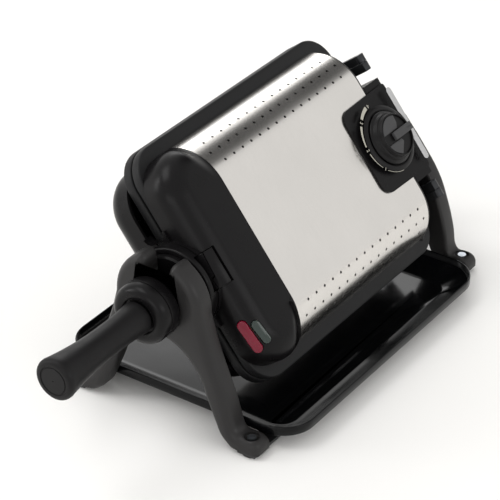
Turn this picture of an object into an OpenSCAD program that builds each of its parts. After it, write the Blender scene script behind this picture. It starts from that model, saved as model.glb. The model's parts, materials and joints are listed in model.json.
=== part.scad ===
// Rotating waffle maker: a clam-shell grill body carried on a front fork and a rear
// support over a drip tray. X is right seen from the handle, Y runs from the handle to
// the back along the turning axis, Z is up, and the origin is on the table.

/* [Stand] */
// Height of the turning axis above the table
axis_h = 111; // [110:1:120]
// Turn of the grill body about its axis at rest, degrees from upright
tilt = 52; // [0:1:70]
// Front face of the front fork
fork_y = -106.5; // [-110:0.5:-100]
// Thickness of the front fork
fork_t = 18.5; // [16:0.5:18.5]
// Outer radius of the fork around its bearing
fork_r = 40; // [32:1:44]
// Width of the slot that opens the front bearing upwards
slot_w = 22; // [16:1:28]
// Front face of the rear support
rear_y = 212; // [211:1:214]
// Thickness of the rear support
rear_t = 18; // [14:1:18]
// Outer radius of the rear support around its bearing
rear_r = 25; // [20:1:26]
// Half width of the stand over its feet
foot_x = 93; // [86:1:100]

/* [Bearings] */
// Radius of the front journal
journal_r = 19.95; // [16:0.05:20]
// Radius of the rear journal
pivot_r = 9.95; // [8:0.05:10]
// Radial running clearance of both journals
running = 0.05; // [0.02:0.01:0.1]
// Wall of the bearing bushes
bush_wall = 2.5; // [1.5:0.5:3]

/* [Drip tray] */
// Half width of the tray
tray_x = 112.5; // [105:0.5:120]
// Front edge of the tray
tray_y0 = -86; // [-87:0.5:-80]
// Rear edge of the tray
tray_y1 = 203; // [200:0.5:206]
// Height of the tray's edge above the table
tray_z = 21; // [18:0.5:22]
// Wall of the tray
tray_wall = 1.4; // [1.2:0.1:1.5]

/* [Grill body] */
// Half width of the plate rims
rim_x = 103; // [98:0.5:103]
// Front edge of the plate rims
rim_y0 = -64; // [-66:0.5:-60]
// Rear edge of the plate rims
rim_y1 = 200; // [196:0.5:200]
// Corner radius of the plate rims
rim_r = 26; // [20:1:30]
// Outer face of a plate's rim band above the parting plane
rim_c = 9.5; // [8:0.5:10]
// Gap from the parting plane to each plate
plate_gap = 0.8; // [0.5:0.1:1]
// Height of a cover above the parting plane
cover_c = 41.5; // [38:0.5:42]
// Half width of a cover's flat top
flat_x = 52; // [46:1:56]
// Front end of the steel covers
steel_y0 = -19; // [-24:1:-12]
// Rear end of the steel covers
steel_y1 = 175; // [170:1:178]
// Sheet thickness of the steel covers
sheet = 0.9; // [0.6:0.1:1.2]
// Front face of the front caps
cap_y = -72; // [-74:1:-70]
// Wall of the moulded caps
cap_wall = 2.6; // [2:0.2:3]

/* [Controls] */
// Half width of the control panel
panel_x = 41; // [36:1:44]
// Length of the control panel along the turning axis
panel_l = 70; // [60:1:72]
// Radius of the knob's skirt
knob_r = 23; // [20:1:24]
// Height of the knob above the panel
knob_h = 10; // [8:1:14]
// Radius of the knob's shaft
shaft_r = 3; // [2.5:0.5:4]

/* [Handle] */
// Length of the handle in front of the hub
handle_l = 100; // [80:1:110]
// Radius of the hub's front collar
hub_r = 27; // [22:1:28]
// Length of the hub's front collar
hub_l = 22.5; // [16:0.5:24]

/* [Hidden] */
$fn = 64;
eps = 0.01;
gap = 0.3;
rim_len = rim_y1 - rim_y0;
roll_r = cover_c - 0.5;
roll_c = cover_c - roll_r;
rail_z = 2;
rail_t = 2.5;
rail_w = 16;
foot_z = rail_z + rail_t;
tray_floor_z = foot_z + 0.2;
tray_corner = 28;
tray_flare = 20;
tray_lip = 8;
panel_y0 = rim_y1 + 1 - panel_l;
dial_y = panel_y0 + panel_l / 2;
housing_c = cover_c + 0.2;
panel_c = 45.8;
panel_top = 48;
latch_x = 15;
latch_c = [22, 33];
latch_travel = 2.5;
groove_c = rim_c + 1.1;
cap_edge = 20;
cap_plan = 34;
cap_x = 92;
hinge_y = rim_y1 + 5;
hinge_c = 30;
hinge_r = 4.5;
pin_r = 2;
ear_x = [62, 69];
knuckle_x = [54, 61.7];
lens_x = 60;
red_angle = 60;
clear_angle = 31;
tube_r = 3.2;
tube_c = rim_c + 0.2 + tube_r;
loop_x = 60;
loop_y = [-20, 143];
loop_r = 18;
pin_x = 28;
collar_y = fork_y - 0.8;
handle_y = collar_y - hub_l;
rear_end = rear_y + rear_t;
screw_y = [fork_y + fork_t / 2, rear_y + rear_t / 2];
stand_col = "#2b2b2d";
cap_col = "#1b1a1b";
steel_col = "#c9c8c5";
grey_col = "#4a4a4c";

// ---- shared shapes ----

// Puts a piece of the turning body at its rest angle; x runs across it, z is its normal
module tilted() translate([0, 0, axis_h]) rotate([0, tilt, 0]) children();

// Stands an outline drawn in X and Z up between two places along Y
module along_y(y0, y1) translate([0, y1, 0]) rotate([90, 0, 0]) linear_extrude(y1 - y0) children();

// A round bar along Y
module bar_y(r, y0, y1) translate([0, y0, 0]) rotate([-90, 0, 0]) cylinder(r = r, h = y1 - y0);

// A bar with rounded corners: half width, start and end along Y, corner radius
module plan(hx, y0, y1, r) {
    translate([-hx, y0 + r]) square([2 * hx, y1 - y0 - 2 * r]);
    translate([-hx + r, y0]) square([2 * (hx - r), y1 - y0]);
    for (x = [-hx + r, hx - r], y = [y0 + r, y1 - r]) translate([x, y]) circle(r);
}

// A round-ended slot shape of a given length and width
module pill(l, w) {
    square([l - w, w], center = true);
    for (s = [-1, 1]) translate([s * (l - w) / 2, 0]) circle(w / 2, $fn = 32);
}

// Section of a cover: flat top with two large rolls, drawn in from its outside and open below
module cover_section(inset, open = 0) {
    difference() {
        union() {
            translate([-flat_x, 0]) square([2 * flat_x, cover_c - inset]);
            for (s = [-1, 1]) translate([s * flat_x, roll_c]) circle(roll_r - inset);
        }
        translate([-2 * rim_x, -2 * rim_x]) square([4 * rim_x, 2 * rim_x + groove_c - open]);
    }
}

// ---- stand ----

// Both legs and the arch of a support, seen along Y, with the axis at the origin
module support_outline(top_r, outer, arch_r) {
    floor_z = foot_z - axis_h;
    difference() {
        union() {
            circle(top_r, $fn = 96);
            for (s = [-1, 1]) scale_x(s) {
                polygon(concat([[0, 0]], outer, [[foot_x, floor_z + 7], [foot_x, floor_z], [0, floor_z]]));
                translate([foot_x - 6, floor_z + 7]) circle(6);
            }
        }
        translate([0, -30 - arch_r]) circle(arch_r, $fn = 96);
        polygon([[-arch_r, -30 - arch_r], [arch_r, -30 - arch_r], [57, floor_z - 1], [-57, floor_z - 1]]);
    }
}

// Mirrors an outline left to right when s is negative
module scale_x(s) if (s > 0) children(); else mirror([1, 0]) children();

module front_fork() color(stand_col) difference() {
    translate([0, 0, axis_h]) along_y(fork_y, fork_y + fork_t) difference() {
        support_outline(fork_r, [[40, -3], [63, -69], [70, -96]], 40);
        circle(journal_r + running + bush_wall, $fn = 96);
        translate([-slot_w / 2, 0]) square([slot_w, fork_r + 10]);
    }
    screw_holes(screw_y[0]);
}

module rear_support() color(stand_col) difference() {
    translate([0, 0, axis_h]) along_y(rear_y, rear_end) difference() {
        support_outline(rear_r, [[19, 16], [48, -20], [61, -47], [70, -78], [72, -96]], 40);
        circle(pivot_r + running + bush_wall, $fn = 96);
    }
    screw_holes(screw_y[1]);
}

// Screw bores and head wells in a support's feet
module screw_holes(y) for (s = [-1, 1]) translate([s * 82, y, 0]) {
    cylinder(r = 2, h = 40);
    translate([0, 0, foot_z + 8]) cylinder(r = 5, h = 40);
}

module front_bush() color("#3a3a3a") translate([0, 0, axis_h]) along_y(fork_y, fork_y + fork_t)
    difference() {
        circle(journal_r + running + bush_wall - 0.02, $fn = 96);
        circle(journal_r + running, $fn = 96);
        translate([-slot_w / 2, 0]) square([slot_w, fork_r]);
    }

module rear_bush() color("#3a3a3a") translate([0, 0, axis_h]) along_y(rear_y, rear_end)
    difference() {
        circle(pivot_r + running + bush_wall - 0.02, $fn = 96);
        circle(pivot_r + running, $fn = 96);
    }

module base_rail(s) color("#232324") difference() {
    translate([s * 82 - rail_w / 2, fork_y + 1, rail_z]) cube([rail_w, rear_end - fork_y - 2, rail_t]);
    for (y = screw_y) translate([s * 82, y, 0]) cylinder(r = 2.1, h = 20);
}
module base_rail_right() base_rail(1);
module base_rail_left() base_rail(-1);

module rubber_feet() color("#161616") for (s = [-1, 1], y = screw_y) translate([s * 82, y, 0])
    difference() {
        cylinder(r = 7.5, h = rail_z);
        translate([0, 0, -eps]) cylinder(r = 4.4, h = rail_z + 1);
    }

module stand_screws() color("silver") for (s = [-1, 1], y = screw_y) translate([s * 82, y, 0]) {
    translate([0, 0, 0.5]) cylinder(r = 4, h = rail_z - 0.5);
    translate([0, 0, 1]) cylinder(r = 1.9, h = 14);
    translate([0, 0, foot_z + 8.2]) cylinder(r = 3.6, h = 2.2);
}

// One block of the tray: its edge lip above a floor drawn in by the flare
module tray_form(inset, z0) hull() {
    translate([0, 0, tray_z - tray_lip + (z0 > tray_floor_z ? tray_wall : 0)])
        linear_extrude(tray_lip + (z0 > tray_floor_z ? 1 : 0))
            plan(tray_x - inset, tray_y0 + inset, tray_y1 - inset, tray_corner - inset, $fn = 48);
    translate([0, 0, z0]) linear_extrude(0.5)
        plan(tray_x - tray_flare - inset, tray_y0 + tray_flare + inset,
            tray_y1 - tray_flare - inset, tray_corner - 12, $fn = 48);
}

module drip_tray() color("#0d0e0f") difference() {
    tray_form(0, tray_floor_z);
    tray_form(tray_wall + 0.4, tray_floor_z + tray_wall);
}

// ---- pieces that both halves of the grill share, drawn for the upper half ----

module half_plate() {
    rows = 9;
    pitch = 19;
    difference() {
        translate([0, 0, plate_gap]) linear_extrude(rim_c - plate_gap)
            plan(rim_x, rim_y0, rim_y1, rim_r, $fn = 96);
        for (y = [rim_y0 + 14, rim_y0 + rim_len / 2 + 3]) translate([0, 0, -eps])
            translate([-88, y, 0]) cube([176, rim_len / 2 - 17, rim_c - 2.4]);
    }
    for (bay = [0, 1], i = [0:rows - 1], j = [0:5])
        translate([(i - (rows - 1) / 2) * pitch - 4, rim_y0 + 20 + bay * (rim_len / 2 - 11) + j * pitch, 2.6])
            cube([8, 8, rim_c - 4]);
}

module half_chassis() difference() {
    translate([0, 0, groove_c]) linear_extrude(1.5) plan(88, -50, 172, 14);
    translate([0, 0, groove_c - eps]) linear_extrude(2) plan(76, -44, 166, 4);
}

// Tubular heater bent into an open loop that ends in two upright pins at the back
module half_element() {
    translate([0, 0, tube_c]) {
        for (s = [-1, 1]) {
            translate([s * loop_x, 0, 0]) bar_y(tube_r, loop_y[0], loop_y[1]);
            for (end = [0, 1]) translate([s * (loop_x - loop_r), loop_y[end], 0])
                rotate([0, 0, (s > 0 ? 0 : 180) - 90 * ((s > 0) == (end == 0) ? 1 : 0)])
                    rotate_extrude(angle = 90) translate([loop_r, 0]) circle(tube_r);
            translate([s * (pin_x - 3), loop_y[1] + loop_r, 0]) rotate([0, s * 90, 0])
                cylinder(r = tube_r, h = loop_x - loop_r - pin_x + 3);
            translate([s * pin_x, loop_y[1] + loop_r, 0]) cylinder(r = 1.5, h = 12);
        }
        translate([-loop_x + loop_r, loop_y[0] - loop_r, 0]) rotate([0, 90, 0])
            cylinder(r = tube_r, h = 2 * (loop_x - loop_r));
    }
}

module half_reflector() difference() {
    translate([-72, -43.4, groove_c + 0.2]) cube([144, 209, 8.6]);
    translate([-71.2, -42.6, groove_c]) cube([142.4, 207.4, 8]);
    for (s = [-1, 1]) translate([s * pin_x, loop_y[1] + loop_r, groove_c]) cylinder(r = 2.5, h = 20);
}

// Bent steel cover between the two caps
module half_cover() along_y(steel_y0, steel_y1) difference() {
    cover_section(0);
    cover_section(sheet);
}

// Solid form of a front cap, drawn in from its outside by a wall and open below and behind
module front_cap_form(inset, open = 0) hull() {
    along_y(steel_y0 - 1.3, steel_y0 - gap + open) cover_section(inset, open, $fn = 48);
    for (s = [-1, 1]) translate([s * (cap_x - cap_plan), cap_y + cap_plan, 0]) {
        translate([0, 0, groove_c - open]) cylinder(r = cap_plan - inset, h = 1, $fn = 48);
        translate([0, 0, cover_c - cap_edge]) rotate_extrude($fn = 48) intersection() {
            translate([cap_plan - cap_edge, 0]) circle(cap_edge - inset, $fn = 32);
            translate([0, groove_c - open - cover_c + cap_edge]) square([cap_plan, 2 * cap_edge]);
        }
    }
}

// Front cap with the half-round boss that closes over the hub
module half_front_cap() {
    difference() {
        front_cap_form(0);
        front_cap_form(cap_wall, 1);
        translate([-rim_x, steel_y0 - gap, -1]) cube([2 * rim_x, cap_plan, 60]);
    }
    along_y(cap_y - 2, rim_y0 - gap) difference() {
        circle(40);
        translate([-50, -100]) square([100, 100 + plate_gap]);
    }
}

// Solid form of a rear cap, drawn in from its outside by a wall and open below and in front
module rear_cap_form(inset, open = 0) hull() {
    along_y(steel_y1 + gap - open, rim_y1 - 8) cover_section(inset, open, $fn = 48);
    along_y(rim_y1 - 8, rim_y1 - inset) cover_section(8 + inset, open, $fn = 48);
}

module half_rear_cap() difference() {
    rear_cap_form(0);
    rear_cap_form(cap_wall, 1);
}

// ---- lower half: carries the hub, the handle and the rear pivot ----

module lower() tilted() mirror([0, 0, 1]) children();

module lower_plate() color("#2a2a2c") lower() half_plate();
module lower_chassis() color("#8d8f92") lower() half_chassis();
module lower_element() color("#6d6f70") lower() half_element();
module lower_reflector() color("#b9bbbd") lower() half_reflector();
module lower_cover() color(steel_col) lower() half_cover();
module lower_front_cap() color(cap_col) lower() half_front_cap();
module lower_rear_cap() color(cap_col) lower() half_rear_cap();

// Hub: front collar, flatted journal that the slot lets out when the body is upright, flange
module hub() color("#1d1d1f") tilted() difference() {
    union() {
        bar_y(hub_r, handle_y, collar_y);
        intersection() {
            bar_y(journal_r, collar_y - 1, fork_y + fork_t + 0.8);
            translate([-slot_w / 2 + 0.5, collar_y - 2, -40]) cube([slot_w - 1, 60, 80]);
        }
        difference() {
            bar_y(30, fork_y + fork_t + 0.8, cap_y - 2 - gap);
            translate([-40, cap_y - 7, 0.5]) cube([80, 20, 60]);
        }
    }
    bar_y(6.1, handle_y - 1, handle_y + 20);
    for (s = [-1, 1]) translate([s * 20, 0, -14]) bar_y(1.8, cap_y - 8, cap_y);
}

module hub_screws() color("silver") tilted() for (s = [-1, 1]) translate([s * 20, 0, -14])
    bar_y(1.7, cap_y - 7, cap_y - 2 - gap);

// Handle outline: radius at a distance in front of the hub, waisted towards its root
function grip_r(s) = 12 + 4.6 * pow((s - 34) / 58, 2);
module grip_section(inset) polygon(concat([[0, inset]],
    [for (i = [0:11]) let (s = i * (handle_l - 8) / 11) [grip_r(s) - inset, max(s, inset)]],
    [[14 - inset, handle_l - inset], [0, handle_l - inset]]));
module grip_shell(inset) translate([0, handle_y - 0.2, 0]) rotate([90, 0, 0])
    rotate_extrude() grip_section(inset);

module handle_shell(side) intersection() {
    difference() {
        grip_shell(0);
        grip_shell(2.6);
        bar_y(6.2, handle_y - 12, handle_y + 2);
    }
    translate([-40, handle_y - handle_l - 1, side > 0 ? 0.05 : -40.05]) cube([80, handle_l + 2, 40]);
}
module handle_shell_top() color(cap_col) tilted() handle_shell(1);
module handle_shell_bottom() color(cap_col) tilted() handle_shell(-1);

module handle_core() color("#77787a") tilted() bar_y(6, handle_y - handle_l + 8, handle_y + 19);
module handle_nut() color("silver") tilted() difference() {
    bar_y(8.5, handle_y - handle_l + 12, handle_y - handle_l + 16);
    bar_y(6.05, handle_y - handle_l + 11, handle_y - handle_l + 17);
}

// Rear pivot: plate screwed to the lower rear cap, shoulder and hollow journal
module rear_pivot() color("#1d1d1f") tilted() difference() {
    union() {
        translate([-24, rim_y1 + 0.2, -31]) cube([48, 3, 30]);
        bar_y(14, rim_y1 + 0.2, rear_y - 1.5);
        bar_y(pivot_r, rear_y - 2, rear_end - 1.2);
    }
    bar_y(5, rim_y1 - 1, rear_end);
    for (s = [-1, 1]) translate([s * 19, 0, -24]) bar_y(1.8, rim_y1 - 1, rim_y1 + 5);
}
module pivot_screws() color("silver") tilted() for (s = [-1, 1]) translate([s * 19, 0, -24]) {
    bar_y(1.7, rim_y1 + 0.3, rim_y1 + 4);
    bar_y(3.4, rim_y1 + 3.2, rim_y1 + 5);
}
module cord_gland() color("#151515") tilted() difference() {
    union() {
        bar_y(4.9, rear_y, rear_end);
        bar_y(8.4, rear_end - 1.2, rear_end);
    }
    bar_y(3.6, rear_y - 1, rear_end + 1);
}

// Two ears on the lower half that carry the lid's hinge above the parting plane
module hinge_ears() color("#3b3c3e") tilted() for (s = [-1, 1])
    translate([s > 0 ? ear_x[0] : -ear_x[1], 0, 0]) rotate([90, 0, 90])
        linear_extrude(ear_x[1] - ear_x[0]) difference() {
            union() {
                translate([rim_y1 + 0.3, -28]) square([8, 28 + hinge_c]);
                translate([hinge_y, hinge_c]) circle(hinge_r);
            }
            translate([hinge_y, hinge_c]) circle(pin_r);
        }
module hinge_pins() color("silver") tilted() for (s = [-1, 1])
    translate([s > 0 ? knuckle_x[0] : -ear_x[1], hinge_y, hinge_c]) rotate([0, 90, 0])
        cylinder(r = pin_r - running, h = ear_x[1] - knuckle_x[0]);

module terminal_block() color("ivory") lower() translate([-22, 170, 22]) cube([44, 14, 9]);

// ---- upper half: the lid, with the controls ----

module upper_plate() color("#2a2a2c") tilted() half_plate();
module upper_chassis() color("#8d8f92") tilted() half_chassis();
module upper_element() color("#6d6f70") tilted() half_element();
module upper_reflector() color("#b9bbbd") tilted() half_reflector();
module upper_cover() color(steel_col) tilted() difference() {
    half_cover();
    translate([0, dial_y, 30]) cylinder(r = 6, h = 20);
}

// Seats a round-ended lens on the front edge of the cap, at an angle round that edge
module on_cap_edge(angle) translate([lens_x, cap_y + cap_edge + 1.6, cover_c - cap_edge])
    rotate([angle, 0, 0]) translate([0, 0, cap_edge]) rotate([0, 0, 7]) children();

module upper_front_cap() color(cap_col) tilted() difference() {
    half_front_cap();
    for (a = [red_angle, clear_angle]) on_cap_edge(a) translate([0, 0, -6]) linear_extrude(12) pill(26.6, 8.6);
    translate([-latch_x - gap, cap_y - 6, latch_c[0] - gap])
        cube([2 * (latch_x + gap), 14, latch_c[1] - latch_c[0] + 2 * gap]);
}
module upper_rear_cap() color(cap_col) tilted() half_rear_cap();

module lens() translate([0, 0, -3.4]) linear_extrude(4) pill(26, 8);
module red_lens() color("#8e1224") tilted() on_cap_edge(red_angle) lens();
module clear_lens() color("#b9c4bf") tilted() on_cap_edge(clear_angle) lens();
module pilot_lamps() color("orange") tilted() for (a = [red_angle, clear_angle])
    on_cap_edge(a) translate([-7, 0, -7]) rotate([0, 90, 0]) cylinder(r = 2.4, h = 14);
module lamp_holder() color("ivory") tilted() translate([lens_x - 10, cap_y + 26, 22]) cube([20, 8, 8]);

module hinge_knuckles() color("#3b3c3e") tilted() for (s = [-1, 1])
    translate([s > 0 ? knuckle_x[0] : -knuckle_x[1], 0, 0]) rotate([90, 0, 90])
        linear_extrude(knuckle_x[1] - knuckle_x[0]) difference() {
            union() {
                translate([rim_y1 + 0.2, 14]) square([3.6, hinge_c - 10]);
                translate([hinge_y, hinge_c]) circle(hinge_r);
            }
            translate([hinge_y, hinge_c]) circle(pin_r);
        }

module thermostat() color("ivory") tilted() difference() {
    translate([-14, dial_y - 15, 22]) cube([28, 30, 13]);
    translate([0, dial_y, 26]) cylinder(r = shaft_r + running, h = 20);
}
module thermostat_bracket() color("#9a9c9e") tilted() difference() {
    translate([-30, dial_y - 10, 35.2]) cube([60, 20, 1.4]);
    translate([0, dial_y, 30]) cylinder(r = 6, h = 20);
}
module thermal_fuse() color("#d8d4c8") tilted() translate([-30, 60, 24]) rotate([0, 90, 0]) cylinder(r = 3, h = 22);

// Outline of the control panel: big corners in front, small ones at the back edge
module panel_outline() {
    translate([-panel_x, panel_y0 + 12]) square([2 * panel_x, panel_l - 16]);
    translate([-panel_x + 12, panel_y0]) square([2 * panel_x - 24, 20]);
    translate([-panel_x + 4, panel_y0 + 20]) square([2 * panel_x - 8, panel_l - 20]);
    for (s = [-1, 1]) {
        translate([s * (panel_x - 12), panel_y0 + 12]) circle(12);
        translate([s * (panel_x - 4), panel_y0 + panel_l - 4]) circle(4);
    }
}
module control_housing() color(cap_col) tilted() difference() {
    translate([0, 0, housing_c]) linear_extrude(panel_c - housing_c) panel_outline();
    translate([0, dial_y, 30]) cylinder(r = 8, h = 30);
}
module control_panel() color(grey_col) tilted() difference() {
    translate([0, 0, panel_c]) linear_extrude(panel_top - panel_c) panel_outline();
    translate([0, dial_y, 30]) cylinder(r = 8, h = 30);
}
module trim_strip() color("#b4b5b6") tilted() translate([0, 0, panel_top]) linear_extrude(0.5) difference() {
    translate([0, panel_y0 + panel_l - 5.5]) pill(2 * panel_x - 12, 6);
    translate([0, dial_y]) circle(knob_r + 3);
}
module dial_scale() color("#dcdcda") tilted() translate([0, dial_y, panel_top]) linear_extrude(0.25)
    intersection() {
        difference() {
            circle(31);
            circle(29.6);
        }
        polygon([[0, 0], [-40, 6], [-40, -40], [28, -40]]);
    }

module latch_button() color("#2a2a2b") tilted() translate([-latch_x, cap_y - 4.5, latch_c[0]])
    cube([2 * latch_x, 9, latch_c[1] - latch_c[0]]);
module latch_spring() color("silver") tilted() translate([-12, cap_y + 8, latch_c[0] + 1]) cube([24, 0.8, 9]);

// ---- knob ----

module knob() color("#1e1e20") tilted() translate([0, dial_y, panel_top + 0.3]) difference() {
    union() {
        cylinder(r = knob_r, h = 2.2);
        cylinder(r = knob_r - 3, h = knob_h - 2);
        cylinder(r = knob_r - 4.5, h = knob_h);
    }
    translate([0, 0, -1]) cylinder(r = shaft_r + 0.02, h = knob_h - 1);
}
module knob_insert() color("#5b5c5e") tilted() translate([-3.5, dial_y, panel_top + 0.3 + knob_h])
    cube([7, knob_r - 4, 1.6]);
module knob_shaft() color("silver") tilted() translate([0, dial_y, 27])
    cylinder(r = shaft_r, h = panel_top + 0.3 + knob_h - 2.2 - 27);

front_fork();
rear_support();
front_bush();
rear_bush();
base_rail_right();
base_rail_left();
rubber_feet();
stand_screws();
drip_tray();
lower_plate();
lower_chassis();
lower_element();
lower_reflector();
lower_cover();
lower_front_cap();
lower_rear_cap();
hub();
hub_screws();
handle_core();
handle_shell_top();
handle_shell_bottom();
handle_nut();
rear_pivot();
pivot_screws();
cord_gland();
hinge_ears();
hinge_pins();
terminal_block();
upper_plate();
upper_chassis();
upper_element();
upper_reflector();
upper_cover();
upper_front_cap();
upper_rear_cap();
hinge_knuckles();
thermostat();
thermostat_bracket();
thermal_fuse();
control_housing();
control_panel();
trim_strip();
dial_scale();
red_lens();
clear_lens();
pilot_lamps();
lamp_holder();
latch_spring();
latch_button();
knob();
knob_insert();
knob_shaft();
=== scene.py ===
"""Looks of a rotating waffle maker, built around its packed mechanical frame.

Every size is in millimetres until it reaches Blender, which works in metres. Pieces of the
turning body are drawn upright, with x across the body, y along the turning axis and z along
the normal of the parting plane, and are then turned to their rest angle.
"""

from __future__ import annotations

import json
import logging
import math
from collections.abc import Callable, Iterable, Sequence
from dataclasses import dataclass
from enum import Enum
from typing import Any

import bpy
from mathutils import Matrix, Vector

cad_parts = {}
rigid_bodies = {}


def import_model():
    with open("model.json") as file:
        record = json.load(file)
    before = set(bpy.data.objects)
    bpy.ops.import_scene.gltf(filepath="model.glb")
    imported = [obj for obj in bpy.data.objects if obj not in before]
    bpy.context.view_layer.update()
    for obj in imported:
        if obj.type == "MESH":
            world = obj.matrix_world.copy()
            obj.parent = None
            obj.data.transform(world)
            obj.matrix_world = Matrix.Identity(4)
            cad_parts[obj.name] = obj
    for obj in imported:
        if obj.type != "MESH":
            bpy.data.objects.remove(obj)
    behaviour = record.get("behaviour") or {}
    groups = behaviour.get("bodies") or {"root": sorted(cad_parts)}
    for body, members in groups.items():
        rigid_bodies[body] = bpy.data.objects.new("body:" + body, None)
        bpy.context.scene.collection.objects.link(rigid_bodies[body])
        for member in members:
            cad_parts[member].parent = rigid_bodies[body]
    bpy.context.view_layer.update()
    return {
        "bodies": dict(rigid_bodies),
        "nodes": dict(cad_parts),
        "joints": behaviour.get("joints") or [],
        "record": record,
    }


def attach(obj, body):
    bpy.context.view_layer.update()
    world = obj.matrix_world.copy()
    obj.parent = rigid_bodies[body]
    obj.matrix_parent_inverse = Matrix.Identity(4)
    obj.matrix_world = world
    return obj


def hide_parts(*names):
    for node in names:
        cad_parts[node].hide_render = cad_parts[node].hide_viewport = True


LOG = logging.getLogger("waffle_maker")
MM = 0.001
AXIS_HEIGHT = 111.0
TILT = math.radians(52)
Point = tuple[float, float, float]
Flat = tuple[float, float]
Test = Callable[[Vector, Vector], bool]


class Half(Enum):
    """The two halves of the grill: the lid above the parting plane, the tub under it."""

    UPPER = "upper"
    LOWER = "lower"

    @property
    def place(self) -> Matrix:
        """Turns a piece drawn for the upper half to its rest place."""
        turned = TILTED.copy()
        return turned if self is Half.UPPER else turned @ Matrix.Scale(-1, 4, (0, 0, 1))

    @property
    def body(self) -> str:
        """Name of the moving body that carries this half."""
        return "lid" if self is Half.UPPER else "grill_lower"


UPRIGHT = Matrix.Identity(4)
TILTED = Matrix.Translation((0, 0, AXIS_HEIGHT * MM)) @ Matrix.Rotation(TILT, 4, "Y")


# ---- outlines ----


def arc(centre: Flat, radius: float, start: float, end: float, steps: int) -> list[Flat]:
    """Points on an arc.

    Args:
        centre: Centre of the arc.
        radius: Its radius.
        start: First angle in degrees.
        end: Last angle in degrees.
        steps: Number of chords.

    Returns:
        The points, with both ends.
    """
    angles = (math.radians(start + (end - start) * i / steps) for i in range(steps + 1))
    return [(centre[0] + radius * math.cos(t), centre[1] + radius * math.sin(t)) for t in angles]


def flow(points: Sequence[Flat], steps: int = 4) -> list[Flat]:
    """Runs a smooth curve through points.

    Args:
        points: Places that the curve passes.
        steps: Chords between two of them.

    Returns:
        Points on the curve, with both ends.
    """
    ends = [points[0], *points, points[-1]]
    curve: list[Flat] = []
    for a, b, c, d in zip(ends, ends[1:], ends[2:], ends[3:]):
        for i in range(steps):
            t = i / steps
            curve.append(
                tuple(
                    0.5
                    * (
                        2 * q
                        + (r - p) * t
                        + (2 * p - 5 * q + 4 * r - s) * t * t
                        + (3 * q - p - 3 * r + s) * t**3
                    )
                    for p, q, r, s in zip(a, b, c, d)
                )
            )
    return [*curve, points[-1]]


def rounded_plan(half_x: float, y0: float, y1: float, radius: float, steps: int = 8) -> list[Flat]:
    """Outline of a bar with round corners.

    Args:
        half_x: Half of its width.
        y0: Its front edge.
        y1: Its rear edge.
        radius: Corner radius.
        steps: Chords in a corner.

    Returns:
        The outline, anticlockwise.
    """
    x, low, high = half_x - radius, y0 + radius, y1 - radius
    return (
        arc((x, low), radius, -90, 0, steps)
        + arc((x, high), radius, 0, 90, steps)
        + arc((-x, high), radius, 90, 180, steps)
        + arc((-x, low), radius, 180, 270, steps)
    )


def pill(length: float, width: float, steps: int = 10) -> list[Flat]:
    """Outline of a bar with half-round ends, centred on the origin."""
    reach = (length - width) / 2
    return arc((reach, 0), width / 2, -90, 90, steps) + arc((-reach, 0), width / 2, 90, 270, steps)


def mirrored(right: Sequence[Flat]) -> list[Flat]:
    """Outline drawn from its right half and that half turned over."""
    return [*right, *((-x, y) for x, y in reversed(right))]


def lift(outline: Iterable[Flat], z: float) -> list[Point]:
    """Lays an outline drawn in x and y at a height."""
    return [(x, y, z) for x, y in outline]


def stand_up(outline: Iterable[Flat], y: float, rise: float = 0.0) -> list[Point]:
    """Stands an outline drawn in x and z at a place along y, lifted by a rise."""
    return [(x, y, z + rise) for x, z in outline]


# ---- modelling ----


def metres(point: Sequence[float]) -> Vector:
    """A place in millimetres as a vector in metres."""
    return Vector(point) * MM


def choose(*pieces: bpy.types.Object) -> None:
    """Selects these objects alone, and makes the last of them active.

    Args:
        pieces: What to select; the last one becomes active.
    """
    if bpy.context.object and bpy.context.object.mode != "OBJECT":
        bpy.ops.object.mode_set(mode="OBJECT")
    bpy.ops.object.select_all(action="DESELECT")
    for piece in pieces:
        piece.select_set(True)
    bpy.context.view_layer.objects.active = pieces[-1]


def pick(piece: bpy.types.Object, kind: str, wanted: Test) -> None:
    """Opens a piece in edit mode with some of its elements selected.

    Args:
        piece: The piece.
        kind: VERT, EDGE or FACE.
        wanted: Says whether an element is wanted from its middle in millimetres and its
            normal, or for an edge its direction.
    """
    choose(piece)
    bpy.ops.object.mode_set(mode="EDIT")
    bpy.ops.mesh.select_mode(type=kind)
    bpy.ops.mesh.select_all(action="DESELECT")
    bpy.ops.object.mode_set(mode="OBJECT")
    mesh = piece.data
    if kind == "FACE":
        for face in mesh.polygons:
            face.select = wanted(face.center / MM, face.normal)
    elif kind == "EDGE":
        for edge in mesh.edges:
            a, b = (mesh.vertices[v].co / MM for v in edge.vertices)
            edge.select = wanted((a + b) / 2, (b - a).normalized())
    else:
        for vertex in mesh.vertices:
            vertex.select = wanted(vertex.co / MM, vertex.normal)
    bpy.ops.object.mode_set(mode="EDIT")


def take(piece: bpy.types.Object, numbers: Iterable[int]) -> None:
    """Opens a piece in edit mode with only these vertices selected.

    Args:
        piece: The piece.
        numbers: The vertices' numbers in its mesh.
    """
    bpy.ops.object.mode_set(mode="EDIT")
    bpy.ops.mesh.select_all(action="DESELECT")
    bpy.ops.object.mode_set(mode="OBJECT")
    for number in numbers:
        piece.data.vertices[number].select = True
    bpy.ops.object.mode_set(mode="EDIT")


def close_up(piece: bpy.types.Object, merge: float = 0.002) -> None:
    """Merges doubled vertices and points every face outwards.

    Args:
        piece: The piece.
        merge: Vertices nearer together than this are merged, in millimetres.
    """
    choose(piece)
    bpy.ops.object.mode_set(mode="EDIT")
    bpy.ops.mesh.select_all(action="SELECT")
    bpy.ops.mesh.remove_doubles(threshold=merge * MM)
    bpy.ops.mesh.normals_make_consistent(inside=False)
    bpy.ops.object.mode_set(mode="OBJECT")


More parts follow.
